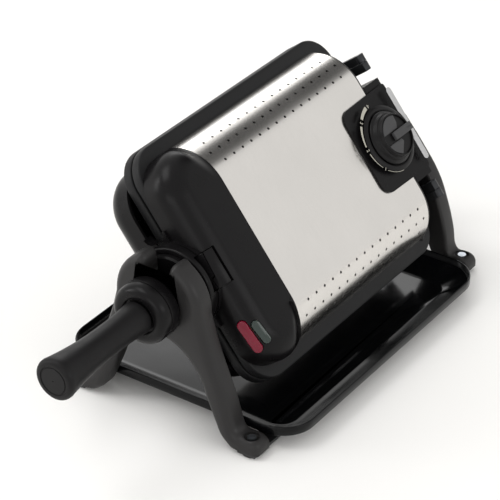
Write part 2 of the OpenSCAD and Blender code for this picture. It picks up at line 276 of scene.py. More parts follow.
def trace(
    name: str, points: Sequence[Point], closed: bool = True, fill: bool = False
) -> bpy.types.Object:
    """Draws a line by extruding one vertex from place to place.

    Args:
        name: Name of the new piece.
        points: The places.
        closed: Whether the last joins the first.
        fill: Whether the closed line becomes a face.

    Returns:
        The piece.
    """
    bpy.ops.object.select_all(action="DESELECT")
    bpy.ops.mesh.primitive_plane_add(size=MM, location=(0, 0, 0))
    piece = bpy.context.object
    piece.name = piece.data.name = name
    bpy.ops.object.mode_set(mode="EDIT")
    bpy.ops.mesh.select_mode(type="VERT")
    bpy.ops.mesh.select_all(action="SELECT")
    bpy.ops.mesh.merge(type="CENTER")
    bpy.ops.transform.translate(value=metres(points[0]))
    for before, after in zip(points, points[1:]):
        step = metres(after) - metres(before)
        bpy.ops.mesh.extrude_region_move(TRANSFORM_OT_translate={"value": step})
    if closed:
        take(piece, (0, len(points) - 1))
        bpy.ops.mesh.edge_face_add()
    if fill:
        bpy.ops.mesh.select_all(action="SELECT")
        bpy.ops.mesh.edge_face_add()
    bpy.ops.object.mode_set(mode="OBJECT")
    return piece


def prism(name: str, outline: Sequence[Point], pull: Point) -> bpy.types.Object:
    """Pulls a filled outline into a solid.

    Args:
        name: Name of the new piece.
        outline: The closed outline.
        pull: Way from the outline to the far face.

    Returns:
        The solid.
    """
    piece = trace(name, outline, fill=True)
    bpy.ops.object.mode_set(mode="EDIT")
    bpy.ops.mesh.select_all(action="SELECT")
    bpy.ops.mesh.extrude_region_move(TRANSFORM_OT_translate={"value": metres(pull)})
    bpy.ops.object.mode_set(mode="OBJECT")
    close_up(piece)
    return piece


def lathe(
    name: str,
    profile: Sequence[Flat],
    along: Point = (0, 1, 0),
    centre: Point = (0, 0, 0),
    steps: int = 72,
    sweep: float = 360.0,
    closed: bool = False,
) -> bpy.types.Object:
    """Spins a profile of radius and place along an axis.

    Args:
        name: Name of the new piece.
        profile: Radius and place along the axis of each point.
        along: The axis, which is y or z.
        centre: A point on the axis.
        steps: Chords of the sweep.
        sweep: Angle swept, in degrees.
        closed: Whether the profile is a closed loop, which is filled before it is swept.

    Returns:
        The turned piece.
    """
    upright = along[2] > 0
    points = [
        (centre[0] + r, centre[1] + (0 if upright else p), centre[2] + (p if upright else 0))
        for r, p in profile
    ]
    piece = trace(name, points, closed=closed, fill=closed)
    bpy.ops.object.mode_set(mode="EDIT")
    bpy.ops.mesh.select_all(action="SELECT")
    bpy.ops.mesh.spin(steps=steps, angle=math.radians(sweep), center=metres(centre), axis=along)
    bpy.ops.object.mode_set(mode="OBJECT")
    close_up(piece)
    return piece


def loft(name: str, rings: Sequence[Sequence[Point]], closed: bool, ends: bool) -> bpy.types.Object:
    """Extrudes a traced ring through a row of further rings.

    Args:
        name: Name of the new piece.
        rings: Rings of as many points each.
        closed: Whether a ring is a closed loop.
        ends: Whether the first and last ring are filled.

    Returns:
        The lofted piece.
    """
    size = len(rings[0])
    piece = trace(name, rings[0], closed=closed)
    for ring in rings[1:]:
        first = len(piece.data.vertices) - size
        take(piece, range(first, first + size))
        bpy.ops.mesh.extrude_edges_move()
        bpy.ops.object.mode_set(mode="OBJECT")
        for i, point in enumerate(ring):
            piece.data.vertices[first + size + i].co = metres(point)
    if ends:
        for first in (0, len(piece.data.vertices) - size):
            take(piece, range(first, first + size))
            bpy.ops.mesh.edge_face_add()
            bpy.ops.object.mode_set(mode="OBJECT")
    close_up(piece)
    return piece


def apply_modifier(piece: bpy.types.Object, kind: str, **settings: Any) -> None:
    """Adds a modifier with its settings and applies it.

    Args:
        piece: The piece.
        kind: The modifier's type.
        settings: Its settings, by name.
    """
    choose(piece)
    modifier = piece.modifiers.new(kind.lower(), kind)
    for key, value in settings.items():
        setattr(modifier, key, value)
    bpy.ops.object.modifier_apply(modifier=modifier.name)


def soften(piece: bpy.types.Object, width: float, segments: int = 2, angle: float = 35.0) -> None:
    """Rounds the edges that are sharper than an angle by a width.

    Args:
        piece: The piece.
        width: The rounding's width in millimetres.
        segments: Its segments.
        angle: Edges turned by more than this, in degrees, are rounded.
    """
    apply_modifier(
        piece, "BEVEL", width=width * MM, segments=segments, limit_method="ANGLE",
        angle_limit=math.radians(angle), harden_normals=False,
    )


def carve(piece: bpy.types.Object, cutter: bpy.types.Object, way: str = "DIFFERENCE") -> None:
    """Takes a cutter from a piece, or joins or crosses it, and throws the cutter away."""
    apply_modifier(piece, "BOOLEAN", object=cutter, operation=way, solver="EXACT")
    bpy.data.objects.remove(cutter)


def copies(pattern: bpy.types.Object, places: Iterable[Matrix]) -> bpy.types.Object:
    """Copies a pattern piece to places, each with its own mesh, and joins them.

    Args:
        pattern: The piece to copy, which is used up.
        places: Where each copy goes.

    Returns:
        The joined copies.
    """
    made = []
    for place in places:
        twin = pattern.copy()
        twin.data = pattern.data.copy()
        bpy.context.collection.objects.link(twin)
        twin.matrix_world = place
        made.append(twin)
    bpy.data.objects.remove(pattern)
    choose(*made)
    bpy.ops.object.transform_apply(location=True, rotation=True, scale=True)
    bpy.ops.object.join()
    return bpy.context.object


def join(name: str, *pieces: bpy.types.Object) -> bpy.types.Object:
    """Joins pieces into one of a given name.

    Args:
        name: Name of the joined piece.
        pieces: What to join.

    Returns:
        The joined piece.
    """
    choose(*pieces)
    bpy.ops.object.join()
    whole = bpy.context.object
    whole.name = whole.data.name = name
    return whole


def bevel_picked(width: float, segments: int) -> None:
    """Rounds the picked edges in edit mode and leaves edit mode."""
    bpy.ops.mesh.bevel(offset=width * MM, segments=segments, clamp_overlap=False)
    bpy.ops.object.mode_set(mode="OBJECT")


def cad_copy(name: str, node: str, frame: dict[str, Any]) -> bpy.types.Object:
    """Merged copy of a CAD node, with its flat triangles dissolved, ready to be finished.

    Args:
        name: Name of the new piece.
        node: The node that is copied.
        frame: The loaded frame.

    Returns:
        The copy, in its rest place.
    """
    source = frame["nodes"][node]
    twin = source.copy()
    twin.data = source.data.copy()
    twin.parent = None
    twin.name = twin.data.name = name
    bpy.context.collection.objects.link(twin)
    twin.matrix_world = source.matrix_world
    choose(twin)
    bpy.ops.object.mode_set(mode="EDIT")
    bpy.ops.mesh.select_all(action="SELECT")
    bpy.ops.mesh.remove_doubles(threshold=0.004 * MM)
    bpy.ops.mesh.dissolve_limited(angle_limit=math.radians(1))
    bpy.ops.mesh.normals_make_consistent(inside=False)
    bpy.ops.object.mode_set(mode="OBJECT")
    return twin


def settle(
    piece: bpy.types.Object,
    finish: Finish,
    body: str,
    *nodes: str,
    place: Matrix = UPRIGHT,
    smooth: float = 32.0,
) -> bpy.types.Object:
    """Puts a piece in its rest place, dresses it and hangs it on its body.

    Args:
        piece: The piece.
        finish: What it is made of.
        body: The body that it rides on.
        *nodes: CAD nodes that it stands for.
        place: Turns it to its rest place.
        smooth: Faces that meet under this angle are shaded as one surface.

    Returns:
        The piece.
    """
    choose(piece)
    piece.matrix_world = place @ piece.matrix_world
    bpy.ops.object.transform_apply(location=True, rotation=True, scale=True)
    if place.determinant() < 0:
        close_up(piece)
    choose(piece)
    bpy.ops.object.shade_smooth_by_angle(angle=math.radians(smooth))
    piece.data.materials.clear()
    piece.data.materials.append(finish.material())
    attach(piece, body)
    if nodes:
        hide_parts(*nodes)
    LOG.info("%s: %d faces on %s", piece.name, len(piece.data.polygons), body)
    return piece


# ---- finishes ----


def linear(code: str) -> tuple[float, float, float, float]:
    """Turns an sRGB hex colour to linear values.

    Args:
        code: The colour as #rrggbb.

    Returns:
        Red, green, blue and alpha.
    """
    parts = (int(code[i : i + 2], 16) / 255 for i in (1, 3, 5))
    red, green, blue = (v / 12.92 if v <= 0.04045 else ((v + 0.055) / 1.055) ** 2.4 for v in parts)
    return (red, green, blue, 1.0)


def add_node(
    tree: bpy.types.NodeTree,
    kind: str,
    settings: dict[str | int, Any] | None = None,
    links: dict[str | int, bpy.types.NodeSocket] | None = None,
) -> bpy.types.Node:
    """Adds a shader node.

    Args:
        tree: The node tree.
        kind: Blender's name of the node's type.
        settings: Values of its sockets, or of its own fields where it has no such socket.
        links: Outputs that feed its sockets.

    Returns:
        The node.
    """
    node = tree.nodes.new(kind)
    for key, value in (settings or {}).items():
        if isinstance(key, int) or key in node.inputs:
            node.inputs[key].default_value = value
        else:
            setattr(node, key, value)
    for key, source in (links or {}).items():
        tree.links.new(source, node.inputs[key])
    return node


@dataclass(frozen=True)
class Finish:
    """A material and how its surface was made.

    The two colours are the light and dark ends of its mottle, which is given in millimetres.
    Grain is the size of its texture and depth how deep that is, both in millimetres. Lines
    draws the grain out into hair lines round the turning body, and gloss is the specular level.
    """

    name: str
    slot: str
    light: str
    dark: str
    rough: float
    metal: float = 0.0
    grain: float = 0.6
    depth: float = 0.02
    mottle: float = 18.0
    uneven: float = 0.05
    coat: float = 0.0
    coat_rough: float = 0.1
    through: float = 0.0
    ior: float = 1.5
    lines: bool = False
    gloss: float = 0.5

    def material(self) -> bpy.types.Material:
        """The material, made once and then shared."""
        return bpy.data.materials.get(self.name) or self.make()

    def make(self) -> bpy.types.Material:
        """Builds the node tree.

        Returns:
            The new material.
        """
        material = bpy.data.materials.new(self.name)
        material.use_nodes = True
        tree = material.node_tree
        tree.nodes.clear()
        place = add_node(tree, "ShaderNodeTexCoord").outputs["Object"]
        grain_place = place
        if self.lines:
            # A brushed sheet: hair lines that run round the rolls and are very short along y.
            turned = add_node(
                tree, "ShaderNodeMapping", {"vector_type": "POINT", "Rotation": (0, -TILT, 0)},
                {"Vector": place}
            )
            grain_place = add_node(
                tree, "ShaderNodeMapping", {"vector_type": "POINT", "Scale": (0.04, 1.0, 0.04)},
                {"Vector": turned.outputs[0]},
            ).outputs[0]
        fine = add_node(
            tree, "ShaderNodeTexNoise",
            {"Scale": 1 / (self.grain * MM), "Detail": 3.0, "Roughness": 0.6}, {"Vector": grain_place},
        ).outputs[0]
        broad = add_node(
            tree, "ShaderNodeTexNoise",
            {"Scale": 1 / (self.mottle * MM), "Detail": 2.0, "Roughness": 0.5}, {"Vector": place},
        ).outputs[0]
        blend = add_node(
            tree, "ShaderNodeMath", {"operation": "MULTIPLY_ADD", 1: 0.5, 2: 0.0}, {0: fine}
        )
        tree.links.new(
            add_node(tree, "ShaderNodeMath", {"operation": "MULTIPLY", 1: 0.5}, {0: broad}).outputs[0],
            blend.inputs[2],
        )
        tone = add_node(tree, "ShaderNodeMix", {"data_type": "RGBA"})
        tree.links.new(blend.outputs[0], tone.inputs[0])
        tone.inputs[6].default_value = linear(self.dark)
        tone.inputs[7].default_value = linear(self.light)
        rough = add_node(
            tree,
            "ShaderNodeMapRange",
            {
                "From Min": 0.3, "From Max": 0.7, "To Min": max(0.02, self.rough - self.uneven),
                "To Max": min(1.0, self.rough + self.uneven),
            },
            {"Value": broad},
        )
        bump = add_node(
            tree, "ShaderNodeBump", {"Strength": 1.0, "Distance": self.depth * MM}, {"Height": fine}
        )
        shader = add_node(
            tree,
            "ShaderNodeBsdfPrincipled",
            {
                "Metallic": self.metal, "Coat Weight": self.coat, "Coat Roughness": self.coat_rough,
                "Transmission Weight": self.through, "Specular IOR Level": self.gloss,
            },
            {"Base Color": tone.outputs[2], "Roughness": rough.outputs[0], "Normal": bump.outputs[0]},
        )
        if not self.metal:
            shader.inputs["IOR"].default_value = self.ior
        add_node(tree, "ShaderNodeOutputMaterial", None, {"Surface": shader.outputs[0]})
        return material


# Glass-filled nylon of the stand: charcoal, fine spark-eroded grain, dull sheen
STAND_NYLON = Finish(
    "moulded_nylon_charcoal", "stand_plastic", "#292828", "#1f1e1e", 0.4, grain=0.5, depth=0.02,
    gloss=0.25
)
# Phenolic moulding of the caps: near black, smooth satin with soft broad highlights
CAP_PHENOLIC = Finish(
    "satin_phenolic_black", "black_moulding", "#121112", "#0c0b0c", 0.3, grain=0.45, depth=0.008,
    gloss=0.14
)
# Matt grip moulding: black with a dry, finely grained skin
GRIP_MOULDING = Finish(
    "matt_moulded_grip", "black_moulding", "#141314", "#0d0c0d", 0.46, grain=0.5, depth=0.03, gloss=0.18
)
# Non-stick coated cast aluminium: dark grey with a pebbled spray texture
COATED_CASTING = Finish(
    "nonstick_coated_casting", "coated_plate", "#1f1f20", "#121213", 0.48, metal=0.0, grain=0.9,
    depth=0.08, mottle=9.0, gloss=0.18
)
# Brushed stainless sheet: bright, with fine hair lines round the rolls
BRUSHED_STAINLESS = Finish(
    "brushed_stainless", "brushed_cover", "#e4e1dd", "#d2cfcb", 0.24, metal=1.0, grain=0.35,
    depth=0.0015,
    mottle=60.0, uneven=0.012, lines=True,
)
# Vitreous enamel of the tray: wet black gloss with a faint orange peel
TRAY_ENAMEL = Finish(
    "vitreous_enamel_black", "tray_enamel", "#08090a", "#050506", 0.14, grain=3.0, depth=0.006,
    coat=0.05, gloss=0.16,
    coat_rough=0.04, uneven=0.03,
)
# Lacquered panel: flat mid grey, dry touch
PANEL_LACQUER = Finish(
    "matt_lacquer_grey", "panel_grey", "#4b4b4d", "#424244", 0.55, grain=0.35, depth=0.01, gloss=0.15
)
# Vacuum-metallised strip: pale silver with a stippled skin
METALLISED_STRIP = Finish(
    "metallised_strip", "silver_trim", "#d6d6d6", "#a2a2a3", 0.42, metal=0.7, grain=0.55, depth=0.05
)
# Pad-printed ink: off-white and dull
PRINT_INK = Finish("pad_printed_ink", "scale_ink", "#bdbaae", "#a5a297", 0.6, grain=0.4, depth=0.005)
# Dyed acrylic: deep red, glossy and half clear
RED_ACRYLIC = Finish(
    "dyed_acrylic_red", "red_lens", "#82052a", "#60041e", 0.14, grain=2.0, depth=0.01, coat=0.2,
    through=0.15, ior=1.49,
    gloss=0.25
)
# Smoked acrylic: pale grey-green, glossy and half clear
CLEAR_ACRYLIC = Finish(
    "smoked_acrylic_green", "clear_lens", "#33403b", "#252f2b", 0.12, grain=2.0, depth=0.01, coat=0.3,
    through=0.2, gloss=0.3,
    ior=1.49,
)
# Plain bearing nylon: dark, waxy
BEARING_NYLON = Finish(
    "bearing_nylon", "bearing_nylon", "#2f2f30", "#262627", 0.33, grain=0.8, depth=0.008
)
# Nitrile rubber: black and dry
FOOT_RUBBER = Finish("nitrile_rubber", "foot_rubber", "#1b1b1b", "#131313", 0.85, grain=0.4, depth=0.04)
# Powder-coated steel bar: black with a pebbled coat
RAIL_POWDER = Finish(
    "powder_coated_steel", "rail_steel", "#2a2a2b", "#1f1f20", 0.55, grain=0.7, depth=0.05
)
# Zinc-plated steel: cool grey metal with cloudy spangle
ZINC_STEEL = Finish(
    "zinc_plated_steel", "zinc_steel", "#b9bdc2", "#8f959c", 0.34, metal=1.0, grain=1.2, depth=0.006
)
# Aluminised sheet: soft matt metal
ALUMINISED_SHEET = Finish(
    "aluminised_sheet", "sheet_aluminium", "#c0c2c4", "#a1a3a6", 0.45, metal=1.0, grain=1.0, depth=0.01
)
# Nickel-alloy heater sheath, tinted by heat
HEATER_SHEATH = Finish(
    "heater_sheath", "element_sheath", "#6b6761", "#4b4a4c", 0.42, metal=1.0, grain=0.8, depth=0.01
)
# Steatite ceramic: ivory, chalky
STEATITE = Finish("steatite", "ceramic", "#e6dfcc", "#d3cbb6", 0.7, grain=0.6, depth=0.02)
# Zinc die casting with a black chromate
HINGE_CASTING = Finish(
    "black_chromated_casting", "hinge_casting", "#3d3e40", "#2c2d2f", 0.4, metal=0.8, grain=0.6,
    depth=0.02
)
# Lamp glass behind a lens: warm, clear
LAMP_GLASS = Finish(
    "neon_lamp_glass", "lamp_glass", "#f0b070", "#d89050", 0.1, grain=2.0, depth=0.005, through=0.5
)
# Hollow of the knob's face: dead black
KNOB_WELL = Finish(
    "knob_well_black", "black_moulding", "#0e0d0e", "#090809", 0.4, grain=0.4, depth=0.01, gloss=0.2
)
# Textured nylon of the knob's face and grip
KNOB_FACE = Finish(
    "knob_face_grey", "panel_grey", "#4a4a4b", "#3e3e3f", 0.55, grain=0.4, depth=0.03, gloss=0.2
)


# ---- stand and tray ----


@dataclass
class Stand:
    """Front fork, rear support and the fittings that stay as they are."""

    fork_front: float = -106.5
    fork_deep: float = 18.5
    fork_bore: float = 22.55
    ring: float = 40.0
    slot: float = 22.0
    horn_clear: float = 28.0
    rear_front: float = 212.0
    rear_deep: float = 18.0
    rear_bore: float = 12.5
    foot_half: float = 93.0
    foot_bottom: float = -106.5
    heel_in: float = 63.2
    well_x: float = 82.0

    def leg(self, outer: list[Flat]) -> list[Flat]:
        """Right leg from the end of its outer flank, round the foot and up the arch.

        Args:
            outer: Places down the outer flank.

        Returns:
            The line from the flank's top to the arch's crown.
        """
        foot = [
            (75, -95.5), (81, -95.3), (86.5, -95.6), (90.5, -97.6), (92.7, -101.2),
            (self.foot_half, -104.5)
        ]
        inner = [
            (61.4, -105), (58.2, -102.2), (55.2, -97.8), (52.4, -91.5), (48.4, -82), (43.8, -71),
            (38, -56), (31, -46), (23, -38), (12, -32), (0, -30)
        ]
        heel = [(self.foot_half, self.foot_bottom), (self.heel_in, self.foot_bottom)]
        return flow(outer + foot, 3) + heel + flow(inner, 3)

    def outline(self, top: list[Flat], outer: list[Flat]) -> list[Flat]:
        """Whole outline of a support, mirrored from its right half.

        Args:
            top: Line from the slot round to the ring's side.
            outer: Places down the outer flank.

        Returns:
            The closed outline round the axis.
        """
        right = top + self.leg(outer)
        left = [(-x, z) for x, z in reversed(right[:-1])]
        return right + left

    def build_fork(self) -> bpy.types.Object:
        """Front fork: an open ring on two splayed legs, rounded on its front edge.

        Returns:
            The fork.
        """
        mouth = self.slot / 2
        start = math.degrees(math.acos(mouth / self.fork_bore))
        bore = arc((0, 0), self.fork_bore, -90, start, 20)
        horn = [
            (mouth, 29.0), (mouth + 0.4, 32.4), (mouth + 1.9, 35.2), (mouth + 4.2, 36.9),
            (mouth + 7.0, 36.8)
        ]
        top = bore + horn + arc((0, 0), self.ring, 58, 4, 9)
        outer = [(40.3, -3), (43.6, -16), (48.5, -31), (56, -51), (63, -69), (67.3, -83), (70.3, -92)]
        piece = prism(
            "front_fork_moulding", stand_up(self.outline(top, outer), self.fork_front, AXIS_HEIGHT),
            (0, self.fork_deep, 0),
        )
        self.round_faces(piece, self.fork_front, self.horn_clear, 6.5, 2.0)
        return self.sink_wells(piece, self.fork_front + self.fork_deep / 2)

    def build_rear(self) -> bpy.types.Object:
        """Rear support: a closed ring on two wide legs.

        Returns:
            The rear support.
        """
        top = arc((0, 0), 25.0, 90, 42, 8)
        outer = [
            (22.5, 12), (31, 2), (40, -9.5), (48, -20), (55.5, -33), (61, -47), (66, -62), (70, -78),
            (71.6, -90)
        ]
        right = top + self.leg(outer)
        left = [(-x, z) for x, z in reversed(right[1:-1])]
        piece = prism(
            "rear_support_moulding", stand_up(right + left, self.rear_front, AXIS_HEIGHT),
            (0, self.rear_deep, 0),
        )
        self.round_faces(piece, self.rear_front, 0, 3.0, 5.0)
        bore = lathe(
            "rear_bore", [(0, 0), (self.rear_bore, 0), (self.rear_bore, 40), (0, 40)],
            centre=(0, self.rear_front - 10, AXIS_HEIGHT), steps=64,
        )
        carve(piece, bore)
        return self.sink_wells(piece, self.rear_front + self.rear_deep / 2)

    def round_faces(
        self, piece: bpy.types.Object, front: float, clear: float, ahead: float, behind: float
    ) -> None:
        """Rounds the outline's edges on both faces, but not the bore's or the soles'.

        Args:
            piece: A support.
            front: Place of its front face.
            clear: Edges nearer to the axis than this stay sharp.
            ahead: Radius on the front face.
            behind: Radius on the rear face.
        """
        axis = Vector((0, 0, AXIS_HEIGHT))

        def outside(middle: Vector) -> bool:
            """Whether an edge lies away from the bore and above the soles."""
            away = Vector((middle.x, 0, middle.z)) - axis
            return away.length > clear and middle.z > AXIS_HEIGHT + self.foot_bottom + 0.5

        deep = self.fork_deep if front < 0 else self.rear_deep
        for y, radius in ((front, ahead), (front + deep, behind)):
            pick(piece, "EDGE", lambda m, d, y=y: abs(m.y - y) < 0.01 and abs(d.y) < 0.1 and outside(m))
            bevel_picked(radius, 5)
        close_up(piece)

    def sink_wells(self, piece: bpy.types.Object, y: float) -> bpy.types.Object:
        """Sinks a rimmed screw well in each foot.

        Args:
            piece: A support.
            y: Place of the wells along the axis.

        Returns:
            The same support.
        """
        for side in (-1, 1):
            well = lathe(
                "well", [(0, 12.5), (5.6, 12.5), (6.2, 13.1), (6.2, 40), (0, 40)], along=(0, 0, 1),
                centre=(side * self.well_x, y, 0), steps=32,
            )
            carve(piece, well)
        return piece

    def build(self, frame: dict[str, Any]) -> None:
        """Builds both supports and dresses what the frame already has.

        Args:
            frame: The loaded frame.
        """
        settle(self.build_fork(), STAND_NYLON, "stand", "front_fork", smooth=40)
        settle(self.build_rear(), STAND_NYLON, "stand", "rear_support", smooth=40)
        for node, finish in (
            ("front_bush", BEARING_NYLON), ("rear_bush", BEARING_NYLON),
            ("base_rail_right", RAIL_POWDER), ("base_rail_left", RAIL_POWDER),
            ("rubber_feet", FOOT_RUBBER), ("stand_screws", ZINC_STEEL),
        ):
            dress_node(frame, node, finish)


def dress_node(frame: dict[str, Any], node: str, finish: Finish) -> None:
    """Gives a CAD node that stays its finish.

    Args:
        frame: The loaded frame.
        node: The node's name.
        finish: What it is made of.
    """
    piece = frame["nodes"][node]
    piece.data.materials.clear()
    piece.data.materials.append(finish.material())


@dataclass
class DripTray:
    """Pressed and enamelled tray with an upright lip and a rolled edge."""

    half_x: float = 112.5
    front: float = -86.0
    rear: float = 203.0
    corner: float = 28.0
    floor: float = 4.7
    edge: float = 21.0
    lip: float = 8.0
    flare: float = 19.5
    wall: float = 1.4

    def ring(self, inset: float, z: float) -> list[Point]:
        """The tray's outline drawn in by an inset, at a height.

        Args:
            inset: How far the outline is drawn in.
            z: Its height.

        Returns:
            The outline's places.
        """
        radius = max(6.0, self.corner - inset * 0.6)
        plan = rounded_plan(self.half_x - inset, self.front + inset, self.rear - inset, radius, 12)
        return lift(plan, z)

    def build(self) -> None:
        """Lofts the pressing from its outer lip, over the edge and down to the floor inside."""
        e, w, low = self.edge, self.wall, self.edge - self.lip
        outside = [
            (self.flare, self.floor), (self.flare - 1.6, self.floor + 0.5), (2.0, low - 0.9), (0.5, low)
        ]
        roll = [
            (0.0, low + 0.8), (0.0, e - 0.9), (0.25, e - 0.25), (0.75, e), (1.25, e - 0.25),
            (1.5, e - 0.9)
        ]
        ledge = [(1.5, low + 2.8), (2.1, low + 1.9), (3.6, low + 1.6), (4.4, low + 1.0)]
        bowl = [
            (self.flare, self.floor + w + 0.8), (self.flare + 2.2, self.floor + w),
            (self.flare + 6, self.floor + w)
        ]
        rings = [self.ring(inset, z) for inset, z in outside + roll + ledge + bowl]
        piece = loft("drip_tray_pressing", rings, closed=True, ends=True)
        settle(piece, TRAY_ENAMEL, "drip_tray", "drip_tray", smooth=50)


# ---- turning body ----


@dataclass
class GrillHalf:
    """One half of the grill: waffle plate, perforated steel cover and two moulded caps.

    Each row of holes is its angle round the roll, its first place along y and its count.
    """

    half: Half
    rim_x: float = 103.0
    rim_front: float = -64.0
    rim_rear: float = 200.0
    rim_corner: float = 26.0
    rim_low: float = 0.8
    rim_high: float = 9.5
    flat_x: float = 52.0
    roll: float = 41.0
    roll_low: float = 0.5
    groove: float = 10.6
    sheet: float = 0.9
    steel_front: float = -19.0
    steel_rear: float = 175.0
    cap_front: float = -72.0
    cap_edge: float = 20.0
    cap_half: float = 91.9
    cap_corner: float = 34.0
    groove_angle: float = 14.26
    nose: float = 34.5
    nose_front: float = -82.0
    seat: float = 30.6
    seat_floor: float = -74.1
    cap_wall: float = 2.6
    hole: float = 1.2
    hole_pitch: float = 11.75
    hole_rows: tuple[tuple[float, float, int], ...] = (
        (42.5, -3.1, 15), (58.3, -9.0, 16), (73.8, -3.1, 15)
    )

    def build(self) -> None:
        """Builds the half's four visible pieces."""
        self.build_plate()
        self.build_cover()
        self.build_front_cap()
        self.build_rear_cap()

    def name(self, piece: str) -> str:
        """Name of one of this half's pieces."""
        return f"{self.half.value}_{piece}"

    def finish_piece(
        self, piece: bpy.types.Object, finish: Finish, node: str, smooth: float = 32.0
    ) -> None:
        """Hangs a piece of this half on its body in the place of a CAD node."""
        settle(piece, finish, self.half.body, self.name(node), place=self.half.place, smooth=smooth)

    def build_plate(self) -> None:
        """Cast plate: rounded rim band and two bays full of tapered studs."""
        outline = rounded_plan(self.rim_x, self.rim_front, self.rim_rear, self.rim_corner, 16)
        plate = prism(
            self.name("waffle_plate"), lift(outline, self.rim_low), (0, 0, self.rim_high - self.rim_low)
        )
        soften(plate, 1.3, 3)
        bay_length, bay_floor, bay_mouth, bay_fronts = 115.0, 86.0, 88.2, (-50.0, 71.0)
        stud_pitch, stud_size, stud_middle, stud_squat, stud_taper = 19.0, 10.6, 5.2, 0.48, 0.72
        bays = []
        for y in bay_fronts:
            floor = lift(rounded_plan(bay_floor, y + 2, y + bay_length - 2, 4, 4), 7.1)
            mouth = lift(rounded_plan(bay_mouth, y - 0.2, y + bay_length + 0.2, 6, 4), -0.5)
            bays.append(loft("bay", [mouth, floor], closed=True, ends=True))
        carve(plate, join("bays", *bays))
        choose(plate)
        bpy.ops.object.select_all(action="DESELECT")
        bpy.ops.mesh.primitive_cube_add(size=stud_size * MM, location=(0, 0, stud_middle * MM))
        stud = bpy.context.object
        stud.scale = (1, 1, stud_squat)
        bpy.ops.object.transform_apply(location=True, scale=True)
        pick(stud, "FACE", lambda middle, normal: normal.z < -0.5)
        bpy.ops.transform.resize(value=(stud_taper, stud_taper, 1))
        bpy.ops.object.mode_set(mode="OBJECT")
        soften(stud, 0.7, 2)
        places = [
            Matrix.Translation(metres((column * stud_pitch, -40.5 + bay * 121 + row * stud_pitch, 0)))
            for bay in (0, 1)
            for column in range(-4, 5)
            for row in range(6)
        ]
        carve(plate, copies(stud, places), "UNION")
        self.finish_piece(plate, COATED_CASTING, "plate")

    def section(self, inset: float) -> list[Flat]:
        """Right half of the cover's section, from the groove up to the middle of the top.

        Args:
            inset: Depth under the cover's outside.

        Returns:
            The section's places.
        """
        radius = self.roll - inset
        low = math.degrees(math.asin((self.groove - self.roll_low) / radius))
        return arc((self.flat_x, self.roll_low), radius, low, 90, 36)

    def build_cover(self) -> None:
        """Bent steel sheet with three staggered rows of holes along each roll."""
        outer, inner = self.section(0), self.section(self.sheet)
        outline = (
            outer
            + [(-x, z) for x, z in reversed(outer)]
            + [(-x, z) for x, z in inner]
            + list(reversed(inner))
        )
        cover = prism(
            self.name("steel_cover"), stand_up(outline, self.steel_front),
            (0, self.steel_rear - self.steel_front, 0),
        )
        drill = lathe(
            "drill", [(0, 36), (self.hole, 36), (self.hole, 44), (0, 44)], along=(0, 0, 1), steps=12
        )
        places = []
        for side in (-1, 1):
            for angle, first, count in self.hole_rows:
                for k in range(count):
                    spot = Matrix.Translation(
                        metres((side * self.flat_x, first + self.hole_pitch * k, self.roll_low))
                    )
                    places.append(spot @ Matrix.Rotation(side * math.radians(90 - angle), 4, "Y"))
        if self.half is Half.UPPER:
            places.append(Matrix.Translation(metres((0, 166, 0))) @ Matrix.Diagonal((5, 5, 1, 1)))
        carve(cover, copies(drill, places))
        self.finish_piece(cover, BRUSHED_STAINLESS, "cover", smooth=20)

    def drawn_in(self, z: float) -> float:
        """How far the front cap's rounded edge has drawn in at a height."""
        above = max(0.0, z - (self.roll_low + self.roll - self.cap_edge))
        return self.cap_edge - math.sqrt(max(0.0, self.cap_edge**2 - above**2))

    def cap_plan_at(self, z: float, half_x: float) -> list[Point]:
        """Outline of the front cap at a height, from its right rear end round to its left one.

        Args:
            z: Height over the parting plane.
            half_x: Half width where the cap meets the cover.

        Returns:
            The outline's places.
        """
        back = self.drawn_in(z)
        wide, corner = self.cap_half - back, self.cap_corner - back
        turn_y, join_y = self.cap_front + self.cap_corner, self.steel_front - 0.3
        side = []
        for i in range(9):
            t = i / 9
            side.append(
                (half_x + (wide - half_x) * t * t * (3 - 2 * t), join_y + (turn_y - join_y) * t)
            )
        right = side + arc((wide - corner, turn_y), corner, 0, -90, 14)
        return lift(mirrored(right), z)

    def skin(self, x: float, z: float) -> Vector:
        """Place on the front cap's skin over a given x and height, in millimetres.

        Args:
            x: Place across.
            z: Height over the parting plane.

        Returns:
            The place.
        """
        back = self.drawn_in(z)
        corner = self.cap_corner - back
        past = max(0.0, abs(x) - (self.cap_half - self.cap_corner))
        return Vector((x, self.cap_front + back + corner - math.sqrt(max(0.0, corner**2 - past**2)), z))

    def hollow(self, cap: bpy.types.Object, last: Test) -> None:
        """Fills a cap's last ring, whose vertices a test picks, and gives the cap its wall.

        Args:
            cap: The lofted cap.
            last: Test for the vertices of its last ring.
        """
        pick(cap, "VERT", last)
        bpy.ops.mesh.edge_face_add()
        bpy.ops.object.mode_set(mode="OBJECT")
        close_up(cap)
        apply_modifier(cap, "SOLIDIFY", thickness=self.cap_wall * MM, offset=-1.0)

    def build_front_cap(self) -> None:
        """Moulded front cap with the half-round boss that closes on the hub."""
        rings = []
        for i in range(31):
            angle = math.radians(self.groove_angle + (90 - self.groove_angle) * i / 30)
            half_x = self.flat_x + self.roll * math.cos(angle)
            rings.append(self.cap_plan_at(self.roll_low + self.roll * math.sin(angle), half_x))
        cap = loft(self.name("front_cap_moulding"), rings, closed=False, ends=False)
        self.hollow(cap, lambda place, normal: place.z > self.roll_low + self.roll - 0.01)
        carve(cap, self.boss_block(), "UNION")
        if self.half is Half.UPPER:
            self.cut_pockets(cap)
        self.finish_piece(cap, CAP_PHENOLIC, "front_cap", smooth=38)

